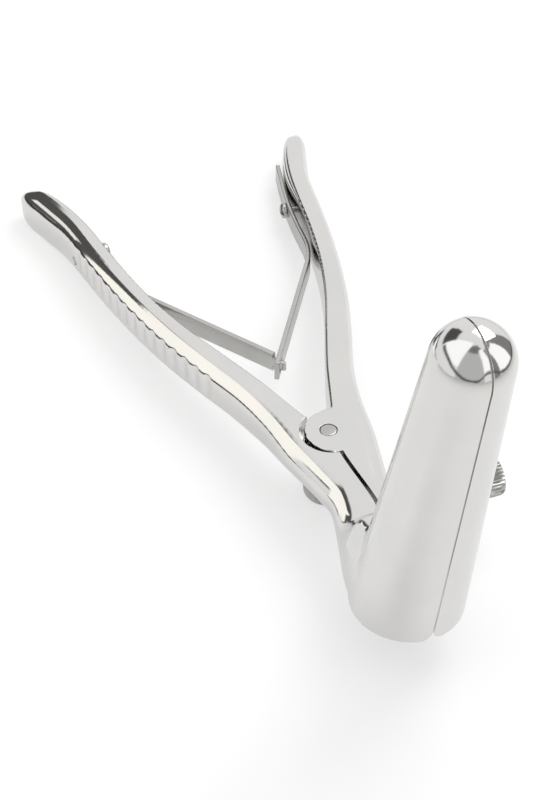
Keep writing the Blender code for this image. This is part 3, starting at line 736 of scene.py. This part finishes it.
def makeSpreader():
    r, w, c = spreader["knobRadius"], spreader["knobWidth"], spreader["chamfer"]
    knobPlace = Matrix.Translation((-spreader["knobInnerX"], spreader["y"], middleZ))
    turn = knobPlace @ Matrix.Rotation(math.pi / 2, 4, "Y")
    shank = spreader["knobInnerX"] - lever["gap"] / 2 - spreader["setback"]
    screwRadius = spreader["radius"]
    levels = [(screwRadius * 0.2, shank, 0), (screwRadius, shank, 0), (screwRadius, 0.0, 0),
              (r - c, 0.0, 0), (r - c * 0.4, -c * 0.15, 0.3), (r, -c, 1)]
    levels += [(r, mix(-c, -w + c, k / 3), 1) for k in (1, 2)]
    levels += [(r, -w + c, 1), (r - c * 0.4, -w + c * 0.15, 0.3), (r - c, -w, 0), (r * 0.2, -w, 0)]
    piece = skinRings("spreader_fine", ridgedRings(levels, spreader["ridges"], spreader["depth"], turn))
    around = screwRadius + spreader["clearance"]
    bore = turnedPiece("spreaderBore", [(around, 0.001), (around, spreader["knobInnerX"])], 64, place @ turn)
    boreLever(right, bore)
    finishSmall(piece, screwSteel, "spreader_screw", "spreader", 40)


makeBolt()
makeNut()
makeStrapScrew(left, "left")
makeStrapScrew(right, "right")
makeSpreader()
print("small parts done")


# floor, surroundings and light

floor = {"size": 1.4, "colour": (0.47, 0.47, 0.47), "seenGlow": 0.55, "steelGlow": 0.42,
         "fadeFrom": 0.16, "fadeTo": 0.70, "fade": 0.35}
horizon = {  # dark line where the tent meets the table: (azimuth, height) in degrees
    "line": [(-180, -12), (-112, -8), (-80, -8), (-60, -6), (-40, 0), (-28, 8), (-10, 11), (0, 3), (15, -7),
             (40, -5), (60, 3), (80, 12), (100, 19), (135, 18), (180, 10)],
    "azimuth": (-112, 136), "halfWidth": 4.0, "soft": 2.5, "level": 0.12,
}
surroundings = {
    "level": 0.88,
    "patches": [  # azimuth is 0 towards the blades and +90 towards +X; both in degrees
        {"azimuth": (66, 140), "height": (20, 86), "soft": 1.5, "level": 1.22},
        {"azimuth": (-3, 66), "height": (-20, 66), "soft": 1.5, "level": 0.55},
        {"azimuth": (-26, 66), "height": (64, 84), "soft": 2, "level": 0.20},
        {"azimuth": (-27, -3), "height": (12, 70), "soft": 1.5, "level": 1.22},
        {"azimuth": (-112, -27), "height": (-20, 64), "soft": 1.5, "level": 0.24},
        {"azimuth": (-84, -43), "height": (-20, 56), "soft": 1.5, "level": 1.22},
        {"azimuth": (140, 176), "height": (12, 46), "soft": 2, "level": 0.08},
    ],
}
cards = [  # painted reflections, sheets that glow or stay dark and are seen only in the steel: a lit panel at the left, its roof and dark foot, and dark ends, with a bright curtain sheet in front and painted shade under the middle
    {"name": "litPanel", "level": 1.20, "colour": (1.0, 0.975, 0.925), "corners": (
        (0.085, -0.106, 0.004), (0.085, 0.0, 0.004), (0.085, 0.0, 0.085), (0.085, -0.106, 0.085))},
    {"name": "litRoof", "level": 1.20, "colour": (1.0, 0.975, 0.925), "corners": (
        (0.038, -0.106, 0.085), (0.085, -0.106, 0.085), (0.085, 0.0, 0.085), (0.042, 0.0, 0.085))},
    {"name": "litPatch", "level": 1.00, "colour": (1.0, 0.985, 0.95), "corners": (
        (0.055, -0.108, 0.0145), (0.055, -0.0905, 0.0145), (0.055, -0.0925, 0.024), (0.055, -0.108, 0.021))},
    {"name": "panelFoot", "level": 0.02, "colour": (1.0, 1.0, 1.0), "corners": (
        (0.066, -0.106, 0.0004), (0.085, -0.106, 0.0004), (0.085, 0.010, 0.0004), (0.060, 0.010, 0.0004))},
    {"name": "tipFoot", "level": 0.05, "colour": (1.0, 1.0, 1.0), "corners": (
        (0.068, -0.165, 0.0006), (0.130, -0.165, 0.0006), (0.130, -0.086, 0.0006), (0.068, -0.086, 0.0006))},
    {"name": "darkCard", "level": 0.09, "colour": (1.0, 0.97, 0.97), "corners": (
        (0.024, -0.165, 0.0), (0.170, -0.140, 0.0), (0.170, -0.140, 0.095), (0.020, -0.165, 0.095))},
    # curtain: painted reflection of a bright sheet in front of the blades
    {"name": "curtain", "level": 0.88, "colour": (1.0, 1.0, 1.0), "corners": (
        (0.018, 0.046, 0.0), (0.120, 0.046, 0.0), (0.120, 0.046, 0.095), (0.018, 0.046, 0.095))},
    # middleGround: painted shade, the floor under the middle as dark in the steel's reflections
    {"name": "middleGround", "level": 0.10, "colour": (1.0, 1.0, 1.0), "corners": (
        (-0.030, -0.165, 0.0004), (0.020, -0.165, 0.0004),
        (0.010, -0.060, 0.0004), (-0.018, -0.060, 0.0004))},
]
lamps = [
    {"name": "keyPanel", "from": (-0.45, -0.25, 0.75), "size": (0.5, 0.5), "power": 3.0},
]


def makeFloor():
    bpy.ops.object.select_all(action="DESELECT")
    bpy.ops.mesh.primitive_plane_add(size=floor["size"], location=(0, 0, 0))
    plane = bpy.context.active_object
    plane.name = "floor"
    material = bpy.data.materials.new("palePaper")
    material.use_nodes = True
    nodes = Nodes(material.node_tree)
    shader = material.node_tree.nodes["Principled BSDF"]
    where = nodes.add("ShaderNodeTexCoord", output=3)
    away = nodes.add("ShaderNodeVectorMath", {"operation": "LENGTH"}, {0: where}, output=1)
    seen = nodes.add("ShaderNodeLightPath", output=0)  # Is Camera Ray
    inSteel = nodes.add("ShaderNodeLightPath", output=3)  # Is Glossy Ray
    dim = nodes.ramp(away, floor["fadeFrom"], floor["fadeTo"], 0.0, floor["fade"]) * inSteel
    colourMix = {"data_type": "RGBA"}
    tone = nodes.add("ShaderNodeMix", colourMix,
                     {0: dim, 6: (*floor["colour"], 1), 7: (0, 0, 0, 1)}, output=2)
    feed(nodes.tree, shader.inputs["Base Color"], tone)
    glow = seen * floor["seenGlow"] + (inSteel - dim) * floor["steelGlow"]
    feed(nodes.tree, shader.inputs["Emission Color"],
         nodes.add("ShaderNodeMix", colourMix, {0: glow, 6: (0, 0, 0, 1), 7: (1, 1, 1, 1)}, output=2))
    shader.inputs["Roughness"].default_value = 1.0
    shader.inputs["Specular IOR Level"].default_value = 0.0
    shader.inputs["Emission Strength"].default_value = 1.0
    plane.data.materials.append(material)


def makeCards():
    for card in cards:
        bpy.ops.object.select_all(action="DESELECT")
        bpy.ops.mesh.primitive_plane_add(size=1)
        plane = bpy.context.active_object
        plane.name = card["name"]
        corners = [card["corners"][k] for k in (0, 1, 3, 2)]  # a plane's points come row by row
        for vert, corner in zip(plane.data.vertices, corners):
            vert.co = corner
        material = bpy.data.materials.new(card["name"])
        material.use_nodes = True
        shader = material.node_tree.nodes["Principled BSDF"]
        shader.inputs["Base Color"].default_value = (0, 0, 0, 1)
        shader.inputs["Specular IOR Level"].default_value = 0.0
        shader.inputs["Emission Color"].default_value = (*card["colour"], 1)
        shader.inputs["Emission Strength"].default_value = card["level"]
        plane.data.materials.append(material)
        plane.visible_camera = plane.visible_diffuse = plane.visible_shadow = False
        plane.visible_transmission = plane.visible_volume_scatter = False


def makeSurroundings():
    world = bpy.data.worlds.new("tent")
    bpy.context.scene.world = world
    world.use_nodes = True
    nodes = Nodes(world.node_tree)
    way = nodes.add("ShaderNodeTexCoord", output=0)
    x = nodes.add("ShaderNodeSeparateXYZ", {}, {0: way}, output=0)
    y, z = x.other(1), x.other(2)
    azimuth = x.math("ARCTAN2", y) * (180 / math.pi)
    height = z.math("ARCSINE") * (180 / math.pi)
    value = surroundings["level"]
    for patch in surroundings["patches"]:
        (a0, a1), (e0, e1), soft = patch["azimuth"], patch["height"], patch["soft"]
        mask = (nodes.ramp(azimuth, a0 - soft, a0 + soft) * (1 - nodes.ramp(azimuth, a1 - soft, a1 + soft))
                * nodes.ramp(height, e0 - soft, e0 + soft) * (1 - nodes.ramp(height, e1 - soft, e1 + soft)))
        value = value + mask * (patch["level"] - value)
    curve = nodes.add("ShaderNodeFloatCurve", {}, {1: azimuth / 360 + 0.5})
    mapping = curve.socket.node.mapping
    line = mapping.curves[0]
    for k, (a, e) in enumerate(horizon["line"]):
        spot = ((a + 180) / 360, (e + 90) / 180)
        if k in (0, len(horizon["line"]) - 1):
            line.points[0 if k == 0 else -1].location = spot
        else:
            line.points.new(*spot)
    mapping.update()
    offset = (height - (curve * 180 - 90)).math("ABSOLUTE")
    wide, soft, (a0, a1) = horizon["halfWidth"], horizon["soft"], horizon["azimuth"]
    mask = ((1 - nodes.ramp(offset, wide - soft, wide + soft))
            * nodes.ramp(azimuth, a0 - soft, a0 + soft) * (1 - nodes.ramp(azimuth, a1 - soft, a1 + soft)))
    value = value + mask * (horizon["level"] - value)
    seen = nodes.add("ShaderNodeLightPath", output=0)  # Is Camera Ray
    value = value + seen * (1.0 - value)
    background = world.node_tree.nodes["Background"]
    background.inputs["Color"].default_value = (1, 1, 1, 1)
    feed(nodes.tree, background.inputs["Strength"], value)


def makeLamps():
    for lamp in lamps:
        data = bpy.data.lights.new(lamp["name"], "AREA")
        data.shape = "RECTANGLE"
        data.size, data.size_y = lamp["size"]
        data.energy = lamp["power"]
        light = bpy.data.objects.new(lamp["name"], data)
        bpy.context.scene.collection.objects.link(light)
        light.location = lamp["from"]
        light.rotation_euler = (-Vector(lamp["from"])).to_track_quat("-Z", "Y").to_euler()


makeFloor()
makeCards()
makeSurroundings()
makeLamps()

view = bpy.context.scene.view_settings
view.view_transform = "Standard"
print("light set")
